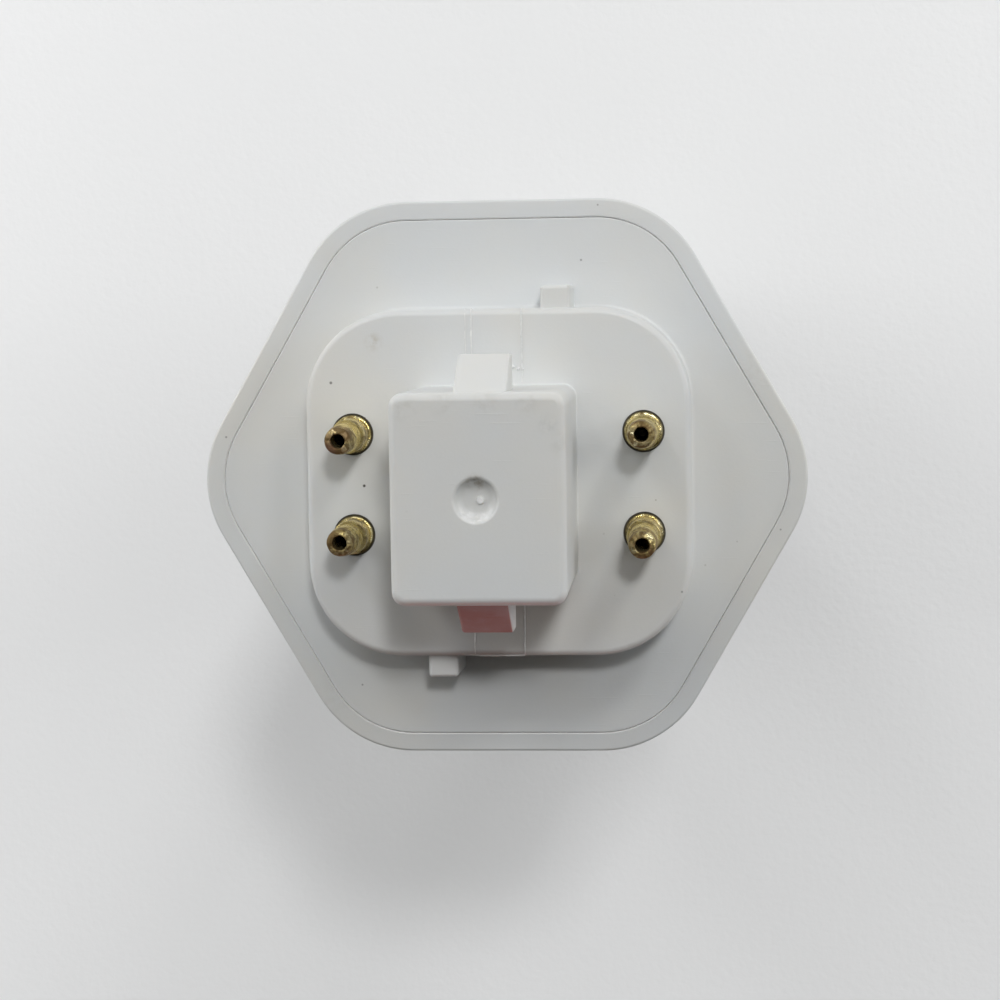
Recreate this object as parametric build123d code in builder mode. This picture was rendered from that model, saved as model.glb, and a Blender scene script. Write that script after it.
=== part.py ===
from build123d import *
import math
import os

os.makedirs("parts", exist_ok=True)

# Four-pin compact fluorescent lamp with a plug-in cap, in millimetres.
# +Z is the lamp's axis and points out of the cap, +X runs through two corners of
# the hexagonal housing. The origin is on the axis, on the cap's seating face: the
# top of the raised platform that the pins stand on. The lamp stands on the three
# bends of its glass tube, below.

# ---- driving dimensions -----------------------------------------------------
pin_dx = 23.0               # pin spacing along X
pin_dy = 8.0                # pin spacing along Y

rim_z = -6.1                # housing's rim and the cap's plate, below the seating face
housing_flats = 45.1        # across the flats at the rim
housing_corner_r = 9.1      # corner radius of the hexagon at the rim
housing_h = 28.0            # rim to glass side
housing_draft = 1.0         # degrees, narrowing towards the glass
housing_floor = 1.8
rim_edge_r = 0.2            # outer edge of the rim
lip_wall = 1.5              # wall round the plate
wall = 2.1                  # wall below the ledge that the plate rests on
seam = 0.045                # gap between the plate's edge and the housing's lip
seam_edge = 0.09            # easing of the two edges along the seam

plate_t = 1.6
skirt_wall = 1.2
skirt_play = 0.1
skirt_z = -12.0

platform_x = 30.45
platform_y = 27.5
platform_r = 7.5
platform_edge_r = 0.5
platform_floor = 2.2
platform_wall = 1.8

post_x = 12.75
post_cx = -0.15             # the post stands this far off the axis
post_y = 15.4
post_h = 16.5
post_wall = 1.8
post_roof = 2.0
post_corner_r = 1.0
post_edge_r = 0.6

lug_w = 3.9                 # latch lugs on the post's two Y faces
lug_reach = 10.35           # from the axis
lug_top_z = 15.4
lug_shoulder_z = 11.0
lug_under_z = 9.0
lug_edge_r = 0.25

key_x = 4.65                # key ribs on the platform's two Y walls
key_w = 2.3
key_reach = 15.5
key_top_z = -0.6
key_spread = 0.12           # how much wider a rib is at its foot, each side

dimple_x = -0.27            # gate recess in the post's end face
dimple_y = -0.03
dimple_r = 1.58             # where the wall meets the end face, before its edge is rounded
dimple_floor_r = 0.95
dimple_depth = 0.7
dimple_edge_r = 0.28
gate_x = 0.03
gate_y = -0.08
gate_r = 0.34
gate_h = 0.2

flange_r = 1.56             # brass contact pins
flange_t = 0.45
flange_seat = 0.15          # the flange sits this deep in a shallow recess
recess_r = 1.66
shank_r = 1.335
shank_top_z = 2.7
tip_r = 1.15
tip_foot_z = 3.1
taper_z = 5.7               # above this the tip narrows
tip_z = 7.55
tip_end_r = 1.04
tip_edge_r = 0.3
bore_r = 0.56
bore_foot_z = 3.5
tail_r = 1.1
tail_z = -2.85
swage_r = 1.75

wire_r = 0.25               # lead wires
wire_top_z = 3.7

limb_r = 6.0                # glass tube
limb_circle = 14.5          # limb centres, from the axis
crown_z = -130.6            # tip of the glass
limb_top_z = -20.0
seal_z = -13.0              # top of the two pinch seals
bridge_z = -43.0
bridge_r = 3.6

hole_play = 0.3             # between a limb and its hole in the housing
cement_top_z = -25.0
cement_lip_z = -33.8

# ---- derived places ---------------------------------------------------------
glass_side_z = rim_z - housing_h
inner_floor_z = glass_side_z + housing_floor
spacing = 2 * limb_circle * math.sin(math.radians(30))   # between neighbouring limbs
bend_r = spacing / 2
chord_r = limb_circle * math.cos(math.radians(30))       # axis to a pair's mid-plane
bend_z = crown_z + limb_r + bend_r
limbs = {a: (limb_circle * math.cos(math.radians(a)), limb_circle * math.sin(math.radians(a)))
         for a in range(0, 360, 60)}
electrode_limbs = (240, 300)
bend_dirs = (90, 210, 330)    # the three U-bends join the limbs either side of these
bridge_dirs = (30, 150)       # two bridges join the pairs, near the housing

down_from_rim = Plane(origin=(0, 0, rim_z), x_dir=(1, 0, 0), z_dir=(0, 0, -1))


# ---- housing: a moulded hexagonal cup, open towards the cap ------------------
with BuildPart() as housing:
    with BuildSketch(down_from_rim) as rim_outline:
        RegularPolygon(radius=housing_flats / 2, side_count=6, major_radius=False)
        fillet(rim_outline.vertices(), housing_corner_r)
    extrude(amount=housing_h, taper=housing_draft)
    fillet(housing.edges().group_by(Axis.Z)[0], 1.4)
    fillet(housing.edges().group_by(Axis.Z)[-1], rim_edge_r)
    # pocket that the cap's plate lies in, down to its ledge
    with BuildSketch(down_from_rim) as lip_outline:
        RegularPolygon(radius=housing_flats / 2 - lip_wall, side_count=6, major_radius=False)
        fillet(lip_outline.vertices(), housing_corner_r - lip_wall)
    extrude(amount=plate_t, mode=Mode.SUBTRACT)
    # the cup's inside
    with BuildSketch(down_from_rim) as cup_outline:
        RegularPolygon(radius=housing_flats / 2 - wall, side_count=6, major_radius=False)
        fillet(cup_outline.vertices(), housing_corner_r - wall)
    extrude(amount=housing_h - housing_floor, mode=Mode.SUBTRACT)
    # six holes for the limbs, eased on the glass side
    with BuildSketch(Plane.XY.offset(glass_side_z)) as limb_holes:
        with PolarLocations(limb_circle, 6):
            Circle(limb_r + hole_play)
    extrude(amount=housing_floor, mode=Mode.SUBTRACT)
    hole_rims = housing.edges().filter_by(GeomType.CIRCLE).filter_by(
        lambda e: abs(e.radius - limb_r - hole_play) < 1e-3 and abs(e.center().Z - glass_side_z) < 1e-3)
    chamfer(hole_rims, 0.35)
    # eased inner edge of the lip, along the seam
    rim_faces = housing.faces().filter_by(Plane.XY).group_by(Axis.Z)[-1]
    chamfer(rim_faces[0].inner_wires()[0].edges(), seam_edge)
housing.part.label = "housing"
export_step(housing.part, "parts/housing.step")


# ---- cap: plate, platform, hollow post, latch lugs and key ribs, one moulding --
with BuildPart() as cap:
    # plate that closes the cup
    plate_half = housing_flats / 2 - lip_wall - seam
    plate_corner_r = housing_corner_r - lip_wall - seam
    with BuildSketch(down_from_rim) as plate_outline:
        RegularPolygon(radius=plate_half, side_count=6, major_radius=False)
        fillet(plate_outline.vertices(), plate_corner_r)
    extrude(amount=plate_t)
    fillet(cap.edges().group_by(Axis.Z)[-1], seam_edge)
    # skirt below it, just inside the cup's wall
    skirt_half = housing_flats / 2 - wall - skirt_play
    skirt_corner_r = housing_corner_r - wall - skirt_play
    with BuildSketch(Plane.XY.offset(skirt_z)) as skirt_outline:
        RegularPolygon(radius=skirt_half, side_count=6, major_radius=False)
        fillet(skirt_outline.vertices(), skirt_corner_r)
    extrude(amount=(rim_z - plate_t) - skirt_z)
    with BuildSketch(Plane.XY.offset(skirt_z)) as skirt_inside:
        RegularPolygon(radius=skirt_half - skirt_wall, side_count=6, major_radius=False)
        fillet(skirt_inside.vertices(), skirt_corner_r - skirt_wall)
    extrude(amount=(rim_z - plate_t) - skirt_z, mode=Mode.SUBTRACT)
    # raised platform
    with BuildSketch(Plane.XY.offset(rim_z)):
        RectangleRounded(platform_x, platform_y, platform_r)
    extrude(amount=-rim_z)
    platform_rim = cap.edges().filter_by(lambda e: abs(e.bounding_box().min.Z) < 1e-3)
    fillet(platform_rim, platform_edge_r)
    platform_foot = cap.edges().filter_by(
        lambda e: abs(e.center().Z - rim_z) < 1e-3
        and abs(e.center().X) < platform_x / 2 + 0.01 and abs(e.center().Y) < platform_y / 2 + 0.01)
    fillet(platform_foot, 0.3)
    # key ribs on opposite walls, spreading towards their feet
    for side in (1, -1):
        with BuildSketch(Plane.XY.offset(rim_z)):
            with Locations((side * key_x, side * (platform_y / 2 - 1.0 + (key_reach + key_spread)) / 2)):
                Rectangle(key_w + 2 * key_spread, key_reach + key_spread - platform_y / 2 + 1.0)
        with BuildSketch(Plane.XY.offset(key_top_z)):
            with Locations((side * key_x, side * (platform_y / 2 - 1.0 + key_reach) / 2)):
                Rectangle(key_w, key_reach - platform_y / 2 + 1.0)
        loft()
        rib_edges = cap.edges().filter_by(
            lambda e: side * e.center().Y > platform_y / 2 + 0.2
            and e.bounding_box().max.Z <= key_top_z + 1e-3 and e.bounding_box().max.Z > rim_z + 1
            and side * e.center().X > key_x - key_w and side * e.center().X < key_x + key_w
            and abs(e.center().Y) < key_reach + key_spread + 0.01)
        fillet(rib_edges, 0.25)
    # post
    with BuildSketch(Plane.XY):
        with Locations((post_cx, 0)):
            RectangleRounded(post_x, post_y, post_corner_r)
    extrude(amount=post_h)
    fillet(cap.edges().group_by(Axis.Z)[-1], post_edge_r)
    post_foot = cap.edges().filter_by(
        lambda e: abs(e.bounding_box().max.Z) < 1e-3 and abs(e.bounding_box().min.Z) < 1e-3
        and abs(e.center().X - post_cx) < post_x / 2 + 0.01 and abs(e.center().Y) < post_y / 2 + 0.01)
    fillet(post_foot, 0.15)
    # latch lugs: a ramp from the post's end, a flat crest and an undercut
    for side in (1, -1):
        with BuildSketch(Plane(origin=(0, 0, 0), x_dir=(0, side, 0), z_dir=(side, 0, 0))):
            with BuildLine():
                Polyline(
                    (post_y / 2 - 0.8, lug_top_z),
                    (post_y / 2, lug_top_z),
                    (lug_reach, lug_shoulder_z),
                    (lug_reach, lug_under_z),
                    (post_y / 2, lug_under_z - 0.25),
                    (post_y / 2 - 0.8, lug_under_z - 0.25),
                    close=True)
            make_face()
        extrude(amount=lug_w / 2, both=True)
        lug_edges = cap.edges().filter_by(
            lambda e: side * e.center().Y > post_y / 2 + 0.3 and e.center().Z > 3)
        fillet(lug_edges, lug_edge_r)
    # gate recess in the end face, with the stub of the gate in it
    with BuildSketch(Plane.XZ.offset(-dimple_y)):
        with BuildLine():
            Line((dimple_x, post_h + 1), (dimple_x, post_h - dimple_depth))
            Line((dimple_x, post_h - dimple_depth), (dimple_x + dimple_floor_r, post_h - dimple_depth))
            ThreePointArc(
                (dimple_x + dimple_floor_r, post_h - dimple_depth),
                (dimple_x + dimple_floor_r + 0.340, post_h - dimple_depth + 0.125),
                (dimple_x + dimple_floor_r + 0.550, post_h - dimple_depth + 0.46))
            Line((dimple_x + dimple_floor_r + 0.550, post_h - dimple_depth + 0.46), (dimple_x + dimple_r, post_h))
            Line((dimple_x + dimple_r, post_h), (dimple_x + dimple_r, post_h + 1))
            Line((dimple_x + dimple_r, post_h + 1), (dimple_x, post_h + 1))
        make_face()
    revolve(axis=Axis((dimple_x, dimple_y, 0), (0, 0, 1)), mode=Mode.SUBTRACT)
    dimple_edge = cap.edges().filter_by(GeomType.CIRCLE).filter_by(
        lambda e: abs(e.center().Z - post_h) < 1e-3 and abs(e.radius - dimple_r) < 1e-3)
    fillet(dimple_edge, dimple_edge_r)
    with BuildSketch(Plane.XY.offset(post_h - dimple_depth)):
        with Locations((gate_x, gate_y)):
            Circle(gate_r)
    extrude(amount=gate_h, taper=25)
    gate_top = cap.edges().filter_by(GeomType.CIRCLE).filter_by(
        lambda e: abs(e.center().Z - (post_h - dimple_depth + gate_h)) < 1e-3 and e.radius < gate_r)
    fillet(gate_top, 0.15)
    # hollow behind the platform and up the post
    with BuildSketch(Plane.XY.offset(-platform_floor)):
        RectangleRounded(platform_x - 2 * platform_wall, platform_y - 2 * platform_wall,
                         platform_r - platform_wall)
    extrude(amount=(rim_z - plate_t) + platform_floor, mode=Mode.SUBTRACT)
    with BuildSketch(Plane.XY.offset(-platform_floor)):
        with Locations((post_cx, 0)):
            RectangleRounded(post_x - 2 * post_wall, post_y - 2 * post_wall, 0.8)
    extrude(amount=post_h - post_roof + platform_floor, mode=Mode.SUBTRACT)
    # pin holes, with a shallow recess round each flange
    with BuildSketch(Plane.XY.offset(-platform_floor)):
        with GridLocations(pin_dx, pin_dy, 2, 2):
            Circle(tail_r)
    extrude(amount=platform_floor, mode=Mode.SUBTRACT)
    with BuildSketch(Plane.XY.offset(-flange_seat)):
        with GridLocations(pin_dx, pin_dy, 2, 2):
            Circle(recess_r)
    extrude(amount=flange_seat, mode=Mode.SUBTRACT)
cap.part.label = "cap"
export_step(cap.part, "parts/cap.step")


# ---- four brass pins: hollow, flanged, swaged behind the platform, and pinched
# on their lead wires where the shank steps in --------------------------------
pins = {
    "contact_pin_1": (pin_dx / 2, pin_dy / 2),
    "contact_pin_2": (pin_dx / 2, -pin_dy / 2),
    "contact_pin_3": (-pin_dx / 2, pin_dy / 2),
    "contact_pin_4": (-pin_dx / 2, -pin_dy / 2),
}
for pin_name, (px, py) in pins.items():
    with BuildPart() as pin:
        with BuildSketch(Plane(origin=(px, py, 0), x_dir=(1, 0, 0), z_dir=(0, -1, 0))):
            with BuildLine():
                Polyline(
                    (0.72, tail_z),
                    (swage_r - 0.3, tail_z),
                    (swage_r, tail_z + 0.25),
                    (swage_r, -platform_floor),
                    (tail_r, -platform_floor),
                    (tail_r, -flange_seat),
                    (flange_r, -flange_seat),
                    (flange_r, flange_t - flange_seat),
                    (shank_r, flange_t - flange_seat + 0.04),
                    (shank_r, shank_top_z),
                    (tip_r, tip_foot_z),
                    (tip_r, taper_z),
                    (tip_end_r, tip_z),
                    (bore_r, tip_z),
                    (bore_r, bore_foot_z),
                    (wire_r, bore_foot_z - 0.35),
                    (wire_r, 1.7),
                    (0.72, 1.2),
                    close=True)
            make_face()
        revolve(axis=Axis((px, py, 0), (0, 0, 1)))
        fillet(pin.edges().filter_by(GeomType.CIRCLE).filter_by(
            lambda e: abs(e.center().Z - tip_z) < 1e-3 and abs(e.radius - tip_end_r) < 1e-3), tip_edge_r)
        fillet(pin.edges().filter_by(GeomType.CIRCLE).filter_by(
            lambda e: abs(e.center().Z - tip_z) < 1e-3 and abs(e.radius - bore_r) < 1e-3), 0.1)
        fillet(pin.edges().filter_by(GeomType.CIRCLE).filter_by(
            lambda e: abs(e.center().Z - (flange_t - flange_seat)) < 1e-3 and abs(e.radius - flange_r) < 1e-3), 0.14)
    pin.part.label = pin_name
    export_step(pin.part, "parts/" + pin_name + ".step")


# ---- lead wires: from the two pinch seals to the pins ------------------------
seal_y = limbs[300][1]
seal_x = limbs[300][0]
wires = {
    "lead_wire_1": [(pin_dx / 2, pin_dy / 2), 1, "far"],
    "lead_wire_2": [(pin_dx / 2, -pin_dy / 2), 1, "near"],
    "lead_wire_3": [(-pin_dx / 2, pin_dy / 2), -1, "far"],
    "lead_wire_4": [(-pin_dx / 2, -pin_dy / 2), -1, "near"],
}
for wire_name, ((px, py), side, which) in wires.items():
    if which == "near":
        points = [
            (px, py, wire_top_z),
            (px, py, -8.2),
            (side * 10.6, -8.3, -10.4),
            (side * (seal_x - 1.5), seal_y, -10.9),
            (side * (seal_x - 1.5), seal_y, seal_z),
        ]
    else:
        points = [
            (px, py, wire_top_z),
            (px, py, -7.4),
            (side * 14.9, 1.2, -9.2),
            (side * 15.2, -6.0, -9.6),
            (side * (seal_x + 1.5), seal_y, -10.6),
            (side * (seal_x + 1.5), seal_y, seal_z),
        ]
    with BuildPart() as lead:
        with BuildLine() as route:
            FilletPolyline(*points, radius=0.9)
        with BuildSketch(Plane(origin=(px, py, wire_top_z), x_dir=(1, 0, 0), z_dir=(0, 0, -1))):
            Circle(wire_r)
        sweep(path=route.line)
    lead.part.label = wire_name
    export_step(lead.part, "parts/" + wire_name + ".step")


# ---- discharge tube: six limbs, three bends and two bridges, one glass vessel --
with BuildPart() as discharge_tube:
    # three U-shaped tubes
    for d in bend_dirs:
        c, s = math.cos(math.radians(d)), math.sin(math.radians(d))
        ends = [(chord_r * c - k * bend_r * s, chord_r * s + k * bend_r * c) for k in (1, -1)]
        with BuildLine() as u_path:
            Line((*ends[0], limb_top_z - limb_r), (*ends[0], bend_z))
            ThreePointArc((*ends[0], bend_z), (chord_r * c, chord_r * s, bend_z - bend_r), (*ends[1], bend_z))
            Line((*ends[1], bend_z), (*ends[1], limb_top_z - limb_r))
        with BuildSketch(Plane(origin=(*ends[0], limb_top_z - limb_r), x_dir=(1, 0, 0), z_dir=(0, 0, -1))):
            Circle(limb_r)
        sweep(path=u_path.line)
    # rounded closed ends of the four limbs without an electrode
    for a, (lx, ly) in limbs.items():
        if a not in electrode_limbs:
            with BuildSketch(Plane(origin=(lx, ly, 0), x_dir=(1, 0, 0), z_dir=(0, -1, 0))):
                with BuildLine():
                    Line((0, limb_top_z - limb_r), (limb_r, limb_top_z - limb_r))
                    EllipticalCenterArc((0, limb_top_z - limb_r), limb_r, 4.2, start_angle=0, arc_size=90)
                    Line((0, limb_top_z - limb_r + 4.2), (0, limb_top_z - limb_r))
                make_face()
            revolve(axis=Axis((lx, ly, 0), (0, 0, 1)))
    # pinch seals of the two electrode limbs
    for a in electrode_limbs:
        lx, ly = limbs[a]
        with BuildSketch(Plane.XY.offset(limb_top_z - limb_r)):
            with Locations((lx, ly)):
                Circle(limb_r)
        with BuildSketch(Plane.XY.offset(limb_top_z - limb_r + 5.0)):
            with Locations((lx, ly)):
                RectangleRounded(9.6, 3.4, 1.5)
        loft()
        with BuildSketch(Plane.XY.offset(limb_top_z - limb_r + 5.0)):
            with Locations((lx, ly)):
                RectangleRounded(9.6, 3.4, 1.5)
        extrude(amount=seal_z - (limb_top_z - limb_r + 5.0))
    # sealed-off end of the exhaust tube
    ex, ey = limbs[120]
    with BuildSketch(Plane.XY.offset(limb_top_z - limb_r + 3.6)):
        with Locations((ex, ey)):
            Circle(1.9)
    extrude(amount=4.2, taper=14)
    # waisted bridges between neighbouring pairs
    for d in bridge_dirs:
        c, s = math.cos(math.radians(d)), math.sin(math.radians(d))
        bx, by = chord_r * c, chord_r * s
        with BuildSketch(Plane(origin=(bx, by, bridge_z), x_dir=(-s, c, 0), z_dir=(c, s, 0))):
            with BuildLine():
                Line((-3.2, 0), (3.2, 0))
                Line((3.2, 0), (3.2, bridge_r + 1.6))
                ThreePointArc((3.2, bridge_r + 1.6), (0, bridge_r), (-3.2, bridge_r + 1.6))
                Line((-3.2, bridge_r + 1.6), (-3.2, 0))
            make_face()
        revolve(axis=Axis((bx, by, bridge_z), (-s, c, 0)))
discharge_tube.part.label = "discharge_tube"
export_step(discharge_tube.part, "parts/discharge_tube.step")


# ---- cement: fills the bottom of the cup round the limbs, and their holes -----
with BuildPart() as tube_cement:
    with BuildSketch(Plane.XY.offset(inner_floor_z)) as bed_outline:
        RegularPolygon(radius=housing_flats / 2 - wall, side_count=6, major_radius=False)
        fillet(bed_outline.vertices(), housing_corner_r - wall)
    extrude(amount=cement_top_z - inner_floor_z)
    with BuildSketch(Plane.XY.offset(cement_lip_z)):
        with PolarLocations(limb_circle, 6):
            Circle(limb_r + hole_play)
    extrude(amount=inner_floor_z - cement_lip_z)
    with BuildSketch(Plane.XY.offset(cement_lip_z)):
        with PolarLocations(limb_circle, 6):
            Circle(limb_r)
    extrude(amount=cement_top_z - cement_lip_z, mode=Mode.SUBTRACT)
tube_cement.part.label = "tube_cement"
export_step(tube_cement.part, "parts/tube_cement.step")
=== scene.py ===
import bpy
import bmesh
import math
from mathutils import Matrix, Quaternion, Vector, noise


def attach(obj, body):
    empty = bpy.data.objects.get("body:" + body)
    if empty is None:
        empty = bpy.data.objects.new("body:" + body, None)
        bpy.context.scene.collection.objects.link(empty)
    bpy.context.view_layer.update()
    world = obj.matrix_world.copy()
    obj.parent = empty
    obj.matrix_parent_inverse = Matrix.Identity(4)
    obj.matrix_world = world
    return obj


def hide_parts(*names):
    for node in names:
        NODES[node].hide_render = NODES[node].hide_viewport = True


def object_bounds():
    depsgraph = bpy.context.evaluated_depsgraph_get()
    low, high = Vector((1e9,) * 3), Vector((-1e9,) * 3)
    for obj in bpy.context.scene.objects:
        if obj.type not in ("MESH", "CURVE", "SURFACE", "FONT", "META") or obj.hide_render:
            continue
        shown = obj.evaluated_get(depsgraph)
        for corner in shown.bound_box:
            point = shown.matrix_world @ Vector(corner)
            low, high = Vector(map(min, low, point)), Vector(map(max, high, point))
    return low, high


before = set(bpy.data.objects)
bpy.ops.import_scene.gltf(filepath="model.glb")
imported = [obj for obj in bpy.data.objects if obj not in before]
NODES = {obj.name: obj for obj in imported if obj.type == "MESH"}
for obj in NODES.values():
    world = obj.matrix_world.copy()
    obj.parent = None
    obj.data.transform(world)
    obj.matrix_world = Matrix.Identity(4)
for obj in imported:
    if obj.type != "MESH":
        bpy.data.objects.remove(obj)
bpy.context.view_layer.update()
MM = 0.001
scene = bpy.context.scene

PINS = {
    "contact_pin_1": (11.5, 4.0),
    "contact_pin_2": (11.5, -4.0),
    "contact_pin_3": (-11.5, 4.0),
    "contact_pin_4": (-11.5, -4.0),
}


# ---------------------------------------------------------------------------
# camera: looks down on the cap, a little from the +X +Y side
# ---------------------------------------------------------------------------
cam_data = bpy.data.cameras.new("camera")
cam_data.sensor_width = 36.0
cam_data.lens = 81.03
cam_data.clip_start = 0.01
cam_data.clip_end = 20.0
cam = bpy.data.objects.new("camera", cam_data)
scene.collection.objects.link(cam)
cam.rotation_mode = "QUATERNION"
cam.location = (0.014607, 0.012553, 0.176634)
cam.rotation_quaternion = Quaternion((0.9983861, -0.0393175, 0.0405249, -0.0060941))
scene.camera = cam


# ---------------------------------------------------------------------------
# small helpers for node materials
# ---------------------------------------------------------------------------
class Mat:
    def __init__(self, name):
        self.m = bpy.data.materials.new(name)
        self.m.use_nodes = True
        self.t = self.m.node_tree
        self.n = self.t.nodes
        self.n.clear()
        self.out = self.n.new("ShaderNodeOutputMaterial")
        self.bsdf = self.n.new("ShaderNodeBsdfPrincipled")
        self.t.links.new(self.bsdf.outputs[0], self.out.inputs["Surface"])
        self.co = self.n.new("ShaderNodeTexCoord").outputs["Object"]

    def link(self, a, b):
        self.t.links.new(a, b)

    def set(self, name, value):
        self.bsdf.inputs[name].default_value = value

    def put(self, name, socket):
        self.link(socket, self.bsdf.inputs[name])

    def noise(self, scale, detail=3.0, rough=0.5, distortion=0.0, vector=None):
        t = self.n.new("ShaderNodeTexNoise")
        t.inputs["Scale"].default_value = scale
        t.inputs["Detail"].default_value = detail
        t.inputs["Roughness"].default_value = rough
        t.inputs["Distortion"].default_value = distortion
        self.link(vector if vector is not None else self.co, t.inputs["Vector"])
        return t.outputs["Fac"]

    def voronoi(self, scale, feature="F1", vector=None, rand=1.0):
        t = self.n.new("ShaderNodeTexVoronoi")
        t.feature = feature
        t.inputs["Scale"].default_value = scale
        t.inputs["Randomness"].default_value = rand
        self.link(vector if vector is not None else self.co, t.inputs["Vector"])
        return t.outputs["Distance"]

    def math(self, op, a, b=0.0, clamp=False):
        t = self.n.new("ShaderNodeMath")
        t.operation = op
        t.use_clamp = clamp
        for i, v in enumerate((a, b)):
            if isinstance(v, (int, float)):
                t.inputs[i].default_value = v
            else:
                self.link(v, t.inputs[i])
        return t.outputs[0]

    def span(self, value, lo, hi, out_lo=0.0, out_hi=1.0, smooth=True):
        t = self.n.new("ShaderNodeMapRange")
        t.interpolation_type = "SMOOTHSTEP" if smooth else "LINEAR"
        t.clamp = True
        self.link(value, t.inputs["Value"])
        t.inputs["From Min"].default_value = lo
        t.inputs["From Max"].default_value = hi
        t.inputs["To Min"].default_value = out_lo
        t.inputs["To Max"].default_value = out_hi
        return t.outputs["Result"]

    def ramp(self, value, stops):
        t = self.n.new("ShaderNodeValToRGB")
        e = t.color_ramp.elements
        while len(e) < len(stops):
            e.new(0.5)
        for el, (pos, col) in zip(e, stops):
            el.position = pos
            el.color = (*col, 1.0)
        self.link(value, t.inputs["Fac"])
        return t.outputs["Color"]

    def mix(self, fac, a, b, kind="MIX"):
        t = self.n.new("ShaderNodeMix")
        t.data_type = "RGBA"
        t.blend_type = kind
        if isinstance(fac, (int, float)):
            t.inputs[0].default_value = fac
        else:
            self.link(fac, t.inputs[0])
        for i, v in ((6, a), (7, b)):
            if isinstance(v, tuple):
                t.inputs[i].default_value = (*v, 1.0)
            else:
                self.link(v, t.inputs[i])
        return t.outputs[2]

    def axes(self, vector=None):
        t = self.n.new("ShaderNodeSeparateXYZ")
        self.link(vector if vector is not None else self.co, t.inputs[0])
        return t.outputs

    def stretch(self, scale, rotation=(0, 0, 0)):
        t = self.n.new("ShaderNodeMapping")
        t.inputs["Scale"].default_value = scale
        t.inputs["Rotation"].default_value = rotation
        self.link(self.co, t.inputs["Vector"])
        return t.outputs[0]

    def distance(self, point_mm):
        t = self.n.new("ShaderNodeVectorMath")
        t.operation = "DISTANCE"
        self.link(self.co, t.inputs[0])
        t.inputs[1].default_value = tuple(v * MM for v in point_mm)
        return t.outputs["Value"]

    def bump(self, height, distance_mm, strength=1.0, normal=None):
        t = self.n.new("ShaderNodeBump")
        t.inputs["Strength"].default_value = strength
        t.inputs["Distance"].default_value = distance_mm * MM
        self.link(height, t.inputs["Height"])
        if normal is not None:
            self.link(normal, t.inputs["Normal"])
        return t.outputs["Normal"]


def use(obj, mat):
    obj.data.materials.clear()
    obj.data.materials.append(mat.m if isinstance(mat, Mat) else mat)


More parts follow.
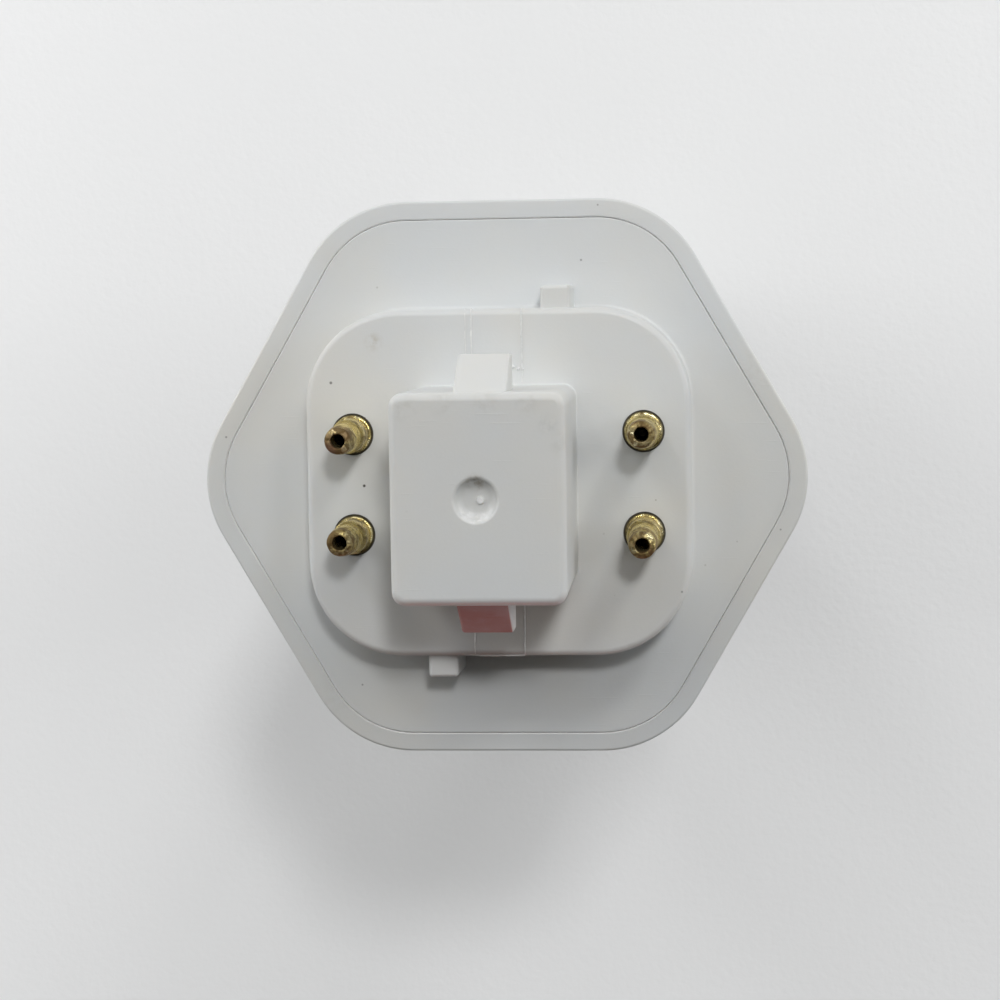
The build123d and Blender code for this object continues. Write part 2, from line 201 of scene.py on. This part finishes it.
# ---------------------------------------------------------------------------
# off-white moulded plastic
# ---------------------------------------------------------------------------
def plastic(name, base, specks, smudges_and_painted_light, seed, rings=False):
    m = Mat(name)
    # broad, faint unevenness of the moulding and a warm cast where it has been handled
    broad = m.noise(55.0 + seed, 3.0, 0.55)
    fine = m.noise(900.0, 2.0, 0.5)
    cool = tuple(c * k for c, k in zip(base, (0.975, 0.99, 1.0)))
    warm = tuple(c * k for c, k in zip(base, (1.0, 0.985, 0.945)))
    col = m.mix(m.span(broad, 0.35, 0.68), cool, warm)
    col = m.mix(m.span(fine, 0.55, 0.9, 0.0, 0.10), col, tuple(c * 0.86 for c in base))
    # fine dust grains
    grain = m.voronoi(520.0)
    keep = m.noise(130.0 + seed * 3.0, 1.0)
    dust = m.math("MULTIPLY", m.span(grain, 0.055, 0.035), m.span(keep, 0.60, 0.68))
    col = m.mix(m.math("MULTIPLY", dust, 0.55), col, (0.16, 0.14, 0.11))
    # single dark specks
    for (x, y, z), r, depth in specks:
        d = m.distance((x, y, z))
        col = m.mix(m.math("MULTIPLY", m.span(d, r * MM, r * 0.45 * MM), depth), col, (0.06, 0.055, 0.05))
    # soft, broken smears, and painted light and shade in the gate recess on the post's top
    for (x, y, z), r, depth, tint in smudges_and_painted_light:
        d = m.distance((x, y, z))
        patch = m.math("MULTIPLY", m.span(d, r * MM, r * 0.2 * MM),
                       m.span(m.noise(1500.0 + 40.0 * x, 3.0, 0.6), 0.38, 0.66))
        col = m.mix(m.math("MULTIPLY", patch, depth), col, tint)
    # painted light: down in the seam the walls are painted paler, standing in for light that the two thin edges pass on
    x, y, z = m.axes()
    sx = m.math("MULTIPLY", x, 0.8660254)
    sy = m.math("MULTIPLY", y, 0.5)
    h = m.math("MAXIMUM", m.math("ABSOLUTE", m.math("ADD", sx, sy)), m.math("ABSOLUTE", m.math("SUBTRACT", sx, sy)))
    h = m.math("MAXIMUM", h, m.math("ABSOLUTE", y))
    far = m.math("SQRT", m.math("ADD", m.math("MULTIPLY", x, x), m.math("MULTIPLY", y, y)))
    seam_painted_light = m.math("MULTIPLY", m.math("LESS_THAN", h, 0.0217), m.math("LESS_THAN", far, 0.02385))
    seam_painted_light = m.math("MULTIPLY", seam_painted_light, m.span(z, -0.00611, -0.00618))
    col = m.mix(seam_painted_light, col, (0.95, 0.95, 0.94))
    if rings:
        # the ramp of the latch lug on the -Y side is painted dark red-brown
        ramp = m.math("MULTIPLY", m.span(x, 0.00187, 0.00179), m.span(y, -0.00772, -0.00780))
        ramp = m.math("MULTIPLY", ramp, m.span(z, 0.01075, 0.01090))
        ramp = m.math("MULTIPLY", ramp, m.span(m.noise(420.0, 3.0, 0.6), 0.3, 0.6, 0.90, 1.0))
        col = m.mix(ramp, col, (0.39, 0.115, 0.095))
        # painted shade: a dark olive-black ring on the plastic, in the gap round each pin's flange
        u = m.math("SUBTRACT", m.math("ABSOLUTE", x), 0.0115)
        v = m.math("SUBTRACT", m.math("ABSOLUTE", y), 0.0040)
        r = m.math("SQRT", m.math("ADD", m.math("MULTIPLY", u, u), m.math("MULTIPLY", v, v)))
        ring = m.math("MULTIPLY", m.span(r, 0.00169, 0.001655), m.span(z, 0.00002, -0.00003))
        ring = m.math("MULTIPLY", ring, m.math("GREATER_THAN", z, -0.0005))
        col = m.mix(m.math("MULTIPLY", ring, 0.93), col, (0.040, 0.026, 0.004))
    m.put("Base Color", col)
    # satin: gloss varies a little with handling, with hair scratches in it
    rub = m.noise(140.0 + seed, 4.0, 0.6, 0.4)
    rough = m.span(rub, 0.3, 0.75, 0.36, 0.50)
    scr = m.noise(1.0, 2.0, 0.5, 0.0, m.stretch((260.0, 5200.0, 900.0), (0.0, 0.0, 0.35 + seed * 0.2)))
    rough = m.math("ADD", rough, m.span(scr, 0.66, 0.74, 0.0, 0.10))
    m.put("Roughness", rough)
    m.set("IOR", 1.52)
    m.set("Subsurface Weight", 0.12)
    m.set("Subsurface Radius", (0.0022, 0.0018, 0.0014))
    m.set("Subsurface Scale", 1.0)
    # spark-eroded mould texture, orange peel, and scratches
    n = m.bump(m.noise(4200.0, 2.0, 0.5), 0.006)
    n = m.bump(m.noise(260.0, 2.0, 0.5), 0.022, normal=n)
    n = m.bump(m.span(scr, 0.66, 0.74), 0.004, normal=n)
    m.put("Normal", n)
    return m


cap_mat = plastic(
    "cap_plastic", (0.718, 0.725, 0.721),
    specks=[((-10.65, -0.09, 0.0), 0.15, 1.0), ((-13.15, 8.1, 0.0), 0.15, 0.7), ((14.4, -8.7, 0.0), 0.12, 0.5),
            ((-10.5, 5.3, 0.0), 0.10, 0.5), ((6.5, 17.6, -6.1), 0.12, 0.5), ((-12.0, -17.0, -6.1), 0.11, 0.5)],
    smudges_and_painted_light=[((5.0, 5.3, 16.5), 1.0, 0.20, (0.42, 0.42, 0.40)), ((-9.7, 11.3, 0.0), 0.95, 0.42, (0.44, 0.39, 0.29)),
             ((-5.4, 6.6, 16.4), 1.3, 0.22, (0.46, 0.45, 0.40)), ((-2.6, 7.0, 16.4), 1.3, 0.20, (0.48, 0.47, 0.42)),
             ((0.6, 7.1, 16.4), 1.3, 0.18, (0.48, 0.47, 0.42)), ((3.6, 7.0, 16.4), 1.3, 0.20, (0.47, 0.46, 0.41)),
             # the last mark on the next line is painted shade, brownish, on the gate recess's upper wall; the four pale
             # marks after it are painted highlights on its lower wall and stub
             ((5.9, 4.0, 16.3), 1.2, 0.18, (0.48, 0.47, 0.42)), ((-0.3, 1.25, 16.15), 0.95, 0.75, (0.24, 0.19, 0.12)),
             ((0.03, -0.08, 16.0), 0.5, 1.0, (0.97, 0.97, 0.97)), ((-0.95, -0.95, 16.2), 0.8, 0.9, (0.95, 0.95, 0.96)),
             ((-0.27, -1.3, 16.25), 0.8, 0.9, (0.95, 0.95, 0.96)), ((0.45, -0.95, 16.2), 0.8, 0.9, (0.95, 0.95, 0.96)),
             ((1.6, -14.6, -0.4), 1.5, 0.2, (0.5, 0.44, 0.36))],
    seed=1.0, rings=True)
housing_mat = plastic(
    "housing_plastic", (0.713, 0.72, 0.716),
    specks=[((-22.9, 3.6, -6.1), 0.12, 0.5), ((22.4, -4.4, -6.1), 0.10, 0.5), ((7.9, 22.0, -6.1), 0.10, 0.5)],
    smudges_and_painted_light=[((-14.0, -17.9, -6.1), 2.0, 0.15, (0.5, 0.46, 0.40)), ((20.5, 8.5, -6.1), 2.4, 0.13, (0.5, 0.47, 0.42))],
    seed=2.0)
use(NODES["cap"], cap_mat)
use(NODES["housing"], housing_mat)


def thin_flash():
    """Thin plastic: shinier than the wall it stands on, and painted paler, as painted light for its glints and the
    light it lets through.
    """
    m = Mat("flash_plastic")
    # painted light: paler than the cap's own plastic
    col = m.mix(m.span(m.noise(700.0, 3.0), 0.35, 0.65), (0.80, 0.805, 0.80), (0.90, 0.90, 0.885))
    m.put("Base Color", col)
    m.put("Roughness", m.span(m.noise(1900.0, 2.0), 0.3, 0.7, 0.22, 0.34))
    m.set("IOR", 1.52)
    m.set("Subsurface Weight", 0.15)
    m.set("Subsurface Radius", (0.0022, 0.0018, 0.0014))
    m.set("Subsurface Scale", 1.0)
    m.put("Normal", m.bump(m.noise(3200.0, 2.0), 0.008))
    return m


flash_mat = thin_flash()


# ---------------------------------------------------------------------------
# phosphor-coated glass, cement and wires
# ---------------------------------------------------------------------------
def glass():
    m = Mat("tube_glass")
    z = m.axes()[2]
    cloud = m.noise(70.0, 4.0, 0.6)
    streak = m.noise(1.0, 3.0, 0.55, 0.3, m.stretch((420.0, 420.0, 26.0)))
    col = m.mix(m.span(cloud, 0.35, 0.7), (0.80, 0.81, 0.80), (0.845, 0.85, 0.835))
    col = m.mix(m.span(streak, 0.5, 0.8, 0.0, 0.35), col, (0.77, 0.775, 0.76))
    # greyer towards the housing: a thinner coating where the limbs were heated, and painted shade from the housing
    end = m.span(z, -0.052, -0.036)
    col = m.mix(m.math("MULTIPLY", end, m.span(m.noise(210.0, 3.0), 0.3, 0.75, 0.12, 0.5)), col, (0.60, 0.60, 0.585))
    m.put("Base Color", col)
    m.set("Roughness", 0.55)
    m.set("Coat Weight", 1.0)
    m.set("Coat IOR", 1.5)
    m.set("Coat Roughness", 0.035)
    m.set("Subsurface Weight", 0.08)
    m.set("Subsurface Radius", (0.0012, 0.0012, 0.0012))
    m.set("Subsurface Scale", 1.0)
    wave = m.bump(m.noise(1.0, 2.0, 0.5, 0.0, m.stretch((90.0, 90.0, 22.0))), 0.09)
    m.link(wave, m.bsdf.inputs["Coat Normal"])
    m.put("Normal", m.bump(m.noise(2600.0, 2.0, 0.5), 0.01))
    return m


def cement():
    m = Mat("cement")
    grain = m.noise(2600.0, 4.0, 0.6)
    col = m.ramp(m.noise(420.0, 4.0, 0.6), [(0.3, (0.50, 0.48, 0.44)), (0.75, (0.64, 0.62, 0.57))])
    col = m.mix(m.span(grain, 0.58, 0.7, 0.0, 0.5), col, (0.36, 0.34, 0.31))
    m.put("Base Color", col)
    m.put("Roughness", m.span(grain, 0.3, 0.7, 0.75, 0.95))
    m.put("Normal", m.bump(grain, 0.12))
    return m


def wire_metal():
    m = Mat("lead_wire_metal")
    col = m.ramp(m.noise(900.0, 3.0, 0.6), [(0.3, (0.34, 0.28, 0.22)), (0.7, (0.56, 0.51, 0.45))])
    # painted shade: black and dull where it runs up into the pin's bore
    bore_painted_shade = m.span(m.axes()[2], 0.0002, 0.0014)
    col = m.mix(bore_painted_shade, col, (0.012, 0.012, 0.014))
    m.put("Base Color", col)
    m.put("Metallic", m.span(m.axes()[2], 0.0002, 0.0014, 1.0, 0.2))
    m.put("Roughness", m.math("ADD", m.span(m.noise(1400.0, 2.0), 0.3, 0.7, 0.30, 0.48), m.math("MULTIPLY", bore_painted_shade, 0.3)))
    m.put("Normal", m.bump(m.noise(1.0, 2.0, 0.5, 0.0, m.stretch((9000.0, 9000.0, 500.0))), 0.006))
    return m


use(NODES["discharge_tube"], glass())
use(NODES["tube_cement"], cement())
wire_mat = wire_metal()
for i in range(1, 5):
    use(NODES[f"lead_wire_{i}"], wire_mat)


# ---------------------------------------------------------------------------
# brass, browned towards the tip, with painted shade at the flange's edge where it meets the plastic
# ---------------------------------------------------------------------------
def brass():
    m = Mat("pin_brass")
    x, y, z = m.axes()
    # distance from the axis of the nearest pin
    u = m.math("SUBTRACT", m.math("ABSOLUTE", x), 0.0115)
    v = m.math("SUBTRACT", m.math("ABSOLUTE", y), 0.0040)
    r = m.math("SQRT", m.math("ADD", m.math("MULTIPLY", u, u), m.math("MULTIPLY", v, v)))
    blot = m.noise(760.0, 5.0, 0.65, 0.6)
    patch = m.noise(330.0, 3.0, 0.6)
    fleck = m.noise(2100.0, 3.0, 0.65)
    turned = m.noise(1.0, 2.0, 0.5, 0.0, m.stretch((300.0, 300.0, 7000.0)))
    clean = m.ramp(m.noise(1100.0, 4.0, 0.6), [(0.32, (0.36, 0.27, 0.08)), (0.46, (0.82, 0.69, 0.30)), (0.62, (0.99, 0.91, 0.58))])
    # a paler band on the lower shank, and a dark line at the step above it
    band = m.math("MULTIPLY", m.span(z, 0.0005, 0.0009), m.span(z, 0.0028, 0.0025))
    col = m.mix(m.math("MULTIPLY", band, m.span(patch, 0.35, 0.62, 0.45, 0.9)), clean, (0.86, 0.78, 0.57))
    step = m.math("MULTIPLY", m.span(z, 0.0026, 0.0028), m.span(z, 0.0036, 0.0030))
    col = m.mix(m.math("MULTIPLY", step, 0.55), col, (0.24, 0.18, 0.07))
    # brown oxide, heavier towards the heated tip
    tip = m.span(z, 0.0052, 0.0072)
    heavy = m.math("ADD", blot, m.math("MULTIPLY", tip, 0.10))
    brown = m.math("MULTIPLY", m.span(heavy, 0.51, 0.62), 0.85, clamp=True)
    col = m.mix(brown, col, (0.22, 0.16, 0.065))
    rose = m.math("MULTIPLY", m.math("MULTIPLY", tip, m.span(patch, 0.46, 0.60)), 0.5)
    col = m.mix(rose, col, (0.25, 0.14, 0.085))
    spots = m.span(fleck, 0.54, 0.62, 0.0, 0.75)
    col = m.mix(spots, col, (0.12, 0.09, 0.035))
    worn = m.math("MULTIPLY", tip, m.span(m.noise(1250.0, 3.0, 0.6, 0.4), 0.47, 0.55, 0.04, 0.85))
    col = m.mix(worn, col, (0.12, 0.07, 0.025))
    dull = m.math("MAXIMUM", m.math("MAXIMUM", brown, spots), worn)
    # patches of its own on each pin: brown and rose-brown ones at the tips and shanks, and dark ones at the flange's
    # edge, which are painted shade widening the dark ring round the flange
    for point, size, depth, tint in (
            ((-12.35, 3.1, 7.2), 0.95, 0.75, (0.20, 0.10, 0.07)), ((-12.5, 4.3, 7.0), 0.7, 0.6, (0.13, 0.09, 0.04)),
            ((-11.3, 2.7, 0.3), 0.8, 0.6, (0.10, 0.075, 0.03)),
            ((-10.5, -5.1, 0.2), 0.95, 0.9, (0.05, 0.038, 0.014)), ((-11.6, -4.95, 7.0), 0.6, 0.7, (0.12, 0.07, 0.045)),
            ((-11.1, -5.1, 4.6), 0.9, 0.6, (0.26, 0.13, 0.07)),
            ((12.25, 3.2, 6.4), 0.9, 0.7, (0.26, 0.14, 0.06)), ((12.3, 3.0, 3.2), 0.8, 0.6, (0.20, 0.12, 0.05)),
            ((10.9, 2.75, 0.3), 0.55, 0.6, (0.12, 0.09, 0.035)), ((11.3, 3.2, 7.3), 0.4, 0.6, (0.14, 0.10, 0.04)),
            ((12.35, -4.6, 7.2), 0.75, 0.8, (0.17, 0.085, 0.05)), ((11.5, -5.25, 6.9), 0.7, 0.7, (0.16, 0.09, 0.055)),
            ((10.2, -3.9, 0.2), 0.55, 0.7, (0.08, 0.065, 0.025)), ((12.95, -4.5, 0.2), 0.5, 0.8, (0.06, 0.045, 0.018))):
        near = m.span(m.distance(point), size * MM, size * 0.35 * MM)
        near = m.math("MULTIPLY", near, m.span(blot, 0.34, 0.56, 0.35, 1.0))
        near = m.math("MULTIPLY", near, depth)
        col = m.mix(near, col, tint)
        dull = m.math("MAXIMUM", dull, near)
    # painted shade and painted dark reflection: a dark, uneven ring round the flange, where it meets the plastic,
    # standing in for its contact shadow and the dark its rounded edge reflects
    edge = m.math("ADD", r, m.math("MULTIPLY", m.math("SUBTRACT", m.noise(560.0, 3.0, 0.6), 0.5), 0.00034))
    foot = m.math("MULTIPLY", m.span(edge, 0.00141, 0.00149), m.span(z, 0.00034, 0.00026))
    col = m.mix(m.math("MULTIPLY", foot, 0.93), col, (0.045, 0.035, 0.012))
    m.put("Base Color", col)
    dull = m.math("MAXIMUM", m.math("MULTIPLY", dull, 0.85), foot)
    m.put("Metallic", m.math("SUBTRACT", 1.0, m.math("MULTIPLY", dull, 0.85)))
    m.set("Specular Tint", (0.98, 0.86, 0.54, 1.0))
    rough = m.span(patch, 0.3, 0.7, 0.20, 0.30)
    rough = m.math("ADD", rough, m.math("MULTIPLY", dull, 0.32), clamp=True)
    m.put("Roughness", rough)
    n = m.bump(turned, 0.010)
    n = m.bump(blot, 0.11, normal=n)
    n = m.bump(fleck, 0.040, normal=n)
    m.put("Normal", n)
    return m


def bore_black():
    """The bore of a pin, painted black as painted shade down the bore."""
    m = Mat("pin_bore")
    fleck = m.noise(2600.0, 3.0, 0.6)
    m.put("Base Color", m.mix(m.span(fleck, 0.45, 0.75), (0.012, 0.009, 0.009), (0.060, 0.045, 0.030)))
    m.put("Roughness", m.span(fleck, 0.3, 0.7, 0.45, 0.7))
    m.set("Metallic", 0.2)
    m.put("Normal", m.bump(fleck, 0.02))
    return m


brass_mat = brass()
bore_mat = bore_black()


def lathe(name, centre, profile, segments, shift, second=()):
    """A turned ring from a closed profile of (radius, height) in mm. shift(r, z, angle) moves each point.
    second holds the profile segments that wear the second material."""
    bm = bmesh.new()
    rings = []
    for i in range(segments):
        a = 2 * math.pi * i / segments
        ring = []
        for r, z in profile:
            rr, zz = shift(r, z, a)
            ring.append(bm.verts.new(((centre[0] + rr * math.cos(a)) * MM, (centre[1] + rr * math.sin(a)) * MM, zz * MM)))
        rings.append(ring)
    k = len(profile)
    for i in range(segments):
        p, q = rings[i], rings[(i + 1) % segments]
        for j in range(k):
            face = bm.faces.new((p[j], q[j], q[(j + 1) % k], p[(j + 1) % k]))
            if j in second:
                face.material_index = 1
    bmesh.ops.recalc_face_normals(bm, faces=bm.faces)
    me = bpy.data.meshes.new(name)
    bm.to_mesh(me)
    bm.free()
    me.shade_smooth()
    me.set_sharp_from_angle(angle=math.radians(38))
    o = bpy.data.objects.new(name, me)
    scene.collection.objects.link(o)
    return o


def arc(cx, cz, r, a0, a1, n):
    return [(cx + r * math.cos(math.radians(a0 + (a1 - a0) * i / n)),
             cz + r * math.sin(math.radians(a0 + (a1 - a0) * i / n))) for i in range(n + 1)]


def rise(a, b, n):
    return [(a[0] + (b[0] - a[0]) * i / n, a[1] + (b[1] - a[1]) * i / n) for i in range(1, n)]


PIN_PROFILE = (
    [(0.72, -2.85), (1.30, -2.85)]
    + arc(1.50, -2.60, 0.25, -90, 0, 5)[1:]
    + [(1.75, -2.32), (1.72, -2.2), (1.1, -2.2), (1.1, -0.15), (1.56, -0.15)]
    + arc(1.43, 0.17, 0.13, 0, 90, 6)
    + [(1.39, 0.305)]
    + arc(1.39, 0.36, 0.055, -90, -180, 4)[1:]
    + rise((1.335, 0.36), (1.335, 2.64), 10)
    + arc(1.275, 2.64, 0.06, 0, 70, 3)
    + [(1.20, 2.99)]
    + arc(1.21, 3.16, 0.06, -130, -180, 3)
    + rise((1.15, 3.16), (1.15, 5.7), 9)
    + rise((1.15, 5.7), (1.045, 7.20), 7)
    + arc(0.745, 7.22, 0.30, 0, 72, 7)
    + [(0.76, 7.53), (0.68, 7.548)]
    + arc(0.62, 7.49, 0.06, 90, 180, 3)
    + rise((0.56, 7.49), (0.56, 3.5), 6)
    + [(0.56, 3.5), (0.25, 3.15), (0.25, 1.7), (0.72, 1.2)]
)

# how far each tip stands off its foot's axis, in mm: the pins are a little bent
LEAN = {
    "contact_pin_1": (-0.04, 0.11),
    "contact_pin_2": (-0.05, -0.28),
    "contact_pin_3": (-0.08, -0.15),
    "contact_pin_4": (-0.07, 0.08),
}


def make_pin(name, centre, seed):
    lean = LEAN[name]

    def shift(r, z, a):
        c, s = math.cos(a), math.sin(a)
        # the tip was cut and staked by hand: its rim is uneven and its bore is jagged
        tip = max(0.0, min(1.0, (z - 6.7) / 0.7))
        v = Vector((c * 1.3 + seed * 3.1, s * 1.3, seed))
        lump = noise.noise(v) * 0.6 + noise.noise(v * 2.7) * 0.4
        jag = noise.noise(Vector((c * 2.6, s * 2.6, seed * 7.0 + 2.0))) + 0.6 * noise.noise(Vector((c * 6.0, s * 6.0, seed * 3.0)))
        rr, zz = r, z
        if tip > 0.0:
            zz += tip * 0.07 * (lump - 0.35 * abs(jag))
            if r < 0.75:
                rr += tip * 0.035 * jag
            else:
                rr -= tip * 0.07 * abs(lump)
        # flange pressed a little unevenly
        if -0.16 < z < 0.32 and r > 1.38:
            rr -= 0.035 * abs(noise.noise(Vector((c * 2.3, s * 2.3, seed * 5.0))))
        return rr, zz

    # the bore's faces wear the pin_bore material, painted black as shade
    bore_painted_shade = [j for j, (r, z) in enumerate(PIN_PROFILE) if r < 0.6 and z > 1.0]
    o = lathe("brass_pin_" + name[-1], centre, PIN_PROFILE, 112, shift, bore_painted_shade)
    for vert in o.data.vertices:
        t = max(0.0, vert.co.z / MM - 0.5) / 7.05
        vert.co.x += lean[0] * MM * t ** 1.2
        vert.co.y += lean[1] * MM * t ** 1.2
    use(o, brass_mat)
    o.data.materials.append(bore_mat.m)
    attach(o, "root")
    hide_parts(name)
    return o


for k, (name, centre) in enumerate(PINS.items()):
    make_pin(name, centre, k + 1.0)


# ---------------------------------------------------------------------------
# flash lines that the mould's two side cores left on the platform
# ---------------------------------------------------------------------------
def ridge(bm, x, side, y0, y1, width, height, seed):
    """A fine raised line along Y on the platform's top, over its rounded edge and a little down the wall."""
    edge, r = 13.75, 0.55
    path = []
    steps = 40
    for i in range(steps + 1):
        y = y0 + (y1 - y0) * i / steps
        path.append((y, 0.0, 0.0, 1.0))
    for i in range(1, 9):
        a = math.radians(90 - 90 * i / 8)
        path.append((edge - r + r * math.cos(a), -r + r * math.sin(a), math.cos(a), math.sin(a)))
    for i in range(1, 6):
        path.append((edge, -r - 0.5 * i, 1.0, 0.0))
    rows = []
    for i, (y, z, ny, nz) in enumerate(path):
        w = noise.noise(Vector((y * 1.7, seed, 0.3)))
        h = height * (0.75 + 0.5 * w)
        if i > len(path) - 5:
            h *= (len(path) - 1 - i) / 4.0
        if i < 2:
            h *= i / 2.0
        dx = 0.02 * noise.noise(Vector((y * 0.9, seed + 4.0, 0.1)))
        row = []
        for f, g in ((-0.5, -0.02), (-0.22, h), (0.22, h), (0.5, -0.02)):
            row.append(bm.verts.new(((x + dx + f * width) * MM, side * (y + ny * g) * MM, (z + nz * g) * MM)))
        rows.append(row)
    for p, q in zip(rows, rows[1:]):
        for j in range(3):
            bm.faces.new((p[j], p[j + 1], q[j + 1], q[j]))
        bm.faces.new((p[3], p[0], q[0], q[3]))
    bm.faces.new(list(reversed(rows[0])))
    bm.faces.new(rows[-1])


bm = bmesh.new()
for side, xs in ((1, (-1.95, 2.02)), (-1, (-2.02, 1.95))):
    for j, x in enumerate(xs):
        ridge(bm, x, side, 7.95, 13.2, 0.15, 0.06, 3.0 * j + side)
ridge(bm, -2.42, 1, 8.6, 12.4, 0.10, 0.03, 11.0)
# thin, ragged bead of flash at the outer end of one core
rows = []
for i in range(49):
    x = -1.95 + 3.9 * i / 48
    f = 0.55 + 0.9 * noise.noise(Vector((x * 1.3, 8.0, 0.0)))
    f = max(0.15, min(1.0, f)) * min(1.0, (i + 1) / 4.0, (49 - i) / 4.0)
    cy, cz, r = 13.70 + 0.05 * f, -0.26 - 0.05 * f, 0.05 + 0.05 * f
    rows.append([bm.verts.new((x * MM, -(cy + r * math.cos(t)) * MM, (cz + r * math.sin(t)) * MM))
                 for t in (2 * math.pi * k / 8 for k in range(8))])
for p, q in zip(rows, rows[1:]):
    for j in range(8):
        bm.faces.new((p[j], p[(j + 1) % 8], q[(j + 1) % 8], q[j]))
bm.faces.new(list(reversed(rows[0])))
bm.faces.new(rows[-1])
for x, y, r in ((1.36, 9.19, 0.13), (1.72, 9.03, 0.15), (2.12, 9.02, 0.08)):
    bmesh.ops.create_uvsphere(bm, u_segments=16, v_segments=10, radius=r * MM,
                              matrix=Matrix.Translation((x * MM, y * MM, 0.02 * MM)))
bmesh.ops.recalc_face_normals(bm, faces=bm.faces)
me = bpy.data.meshes.new("flash_lines")
bm.to_mesh(me)
bm.free()
me.shade_smooth()
me.set_sharp_from_angle(angle=math.radians(50))
flash = bpy.data.objects.new("flash_lines", me)
scene.collection.objects.link(flash)
use(flash, flash_mat)
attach(flash, "root")


# ---------------------------------------------------------------------------
# floor and light
# ---------------------------------------------------------------------------
lo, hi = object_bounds()
floor_mesh = bpy.data.meshes.new("floor")
bm = bmesh.new()
bmesh.ops.create_grid(bm, x_segments=1, y_segments=1, size=3.0)
bm.to_mesh(floor_mesh)
bm.free()
floor = bpy.data.objects.new("floor", floor_mesh)
floor.location = (0, 0, lo.z)
scene.collection.objects.link(floor)
fm = Mat("floor")
fm.put("Base Color", fm.mix(fm.span(fm.noise(3.0, 4.0, 0.6), 0.35, 0.65), (0.78, 0.785, 0.79), (0.80, 0.805, 0.81)))
fm.set("Roughness", 0.7)
fm.put("Normal", fm.bump(fm.noise(900.0, 2.0), 0.05))
use(floor, fm)


def area(name, location, target, size, power, colour=(1.0, 1.0, 1.0)):
    d = bpy.data.lights.new(name, "AREA")
    d.shape = "RECTANGLE"
    d.size, d.size_y = size
    d.energy = power
    d.color = colour
    o = bpy.data.objects.new(name, d)
    o.location = location
    o.rotation_euler = (Vector(target) - Vector(location)).to_track_quat("-Z", "Y").to_euler()
    o.visible_camera = False
    scene.collection.objects.link(o)
    return o


def aim(name, azimuth, elevation, distance, size, power, colour=(1.0, 1.0, 1.0)):
    """A soft square light that looks at the cap. Azimuth 0 is on the +Y side and turns towards +X."""
    a, e = math.radians(azimuth), math.radians(elevation)
    v = Vector((math.sin(a) * math.cos(e), math.cos(a) * math.cos(e), math.sin(e))) * distance
    return area(name, v, (0.0, 0.0, 0.0), (size, size), power, colour)


aim("overhead", 25, 68.5, 0.90, 0.085, 2.01)
aim("key", 0, 45, 0.90, 0.55, 0.98)
aim("key_right", 30, 36, 0.90, 0.16, 1.21)
aim("key_left", -30, 36, 0.90, 0.16, 0.73)
aim("wide_left", -45, 18, 0.90, 0.55, 0.81)
aim("near_left", -70, 15, 0.28, 0.16, 0.285)
aim("near_right", 70, 15, 0.28, 0.16, 0.26)
# a small warm reflector low on the -Y side
warm = area("warm_low", (0.0, -0.075, 0.010), (0.0, -0.009, 0.0125), (0.03, 0.02), 0.00020, (1.0, 0.10, 0.06))
warm.data.spread = math.radians(26)
# four panels that face down and light only the floor round the lamp
for sx, sy in ((1, 0), (-1, 0), (0, 1), (0, -1)):
    area("floor_panel", (sx * 0.24, sy * 0.24, -0.035), (sx * 0.24, sy * 0.24, -1.0), (0.28, 0.28), 0.12)

world = bpy.data.worlds.new("studio")
scene.world = world
world.use_nodes = True
wn, wl = world.node_tree.nodes, world.node_tree.links
wn.clear()
wo = wn.new("ShaderNodeOutputWorld")
wb = wn.new("ShaderNodeBackground")
wb.inputs["Color"].default_value = (1.0, 0.985, 0.91, 1.0)
wb.inputs["Strength"].default_value = 0.05
wl.new(wb.outputs[0], wo.inputs[0])

scene.view_settings.view_transform = "Standard"
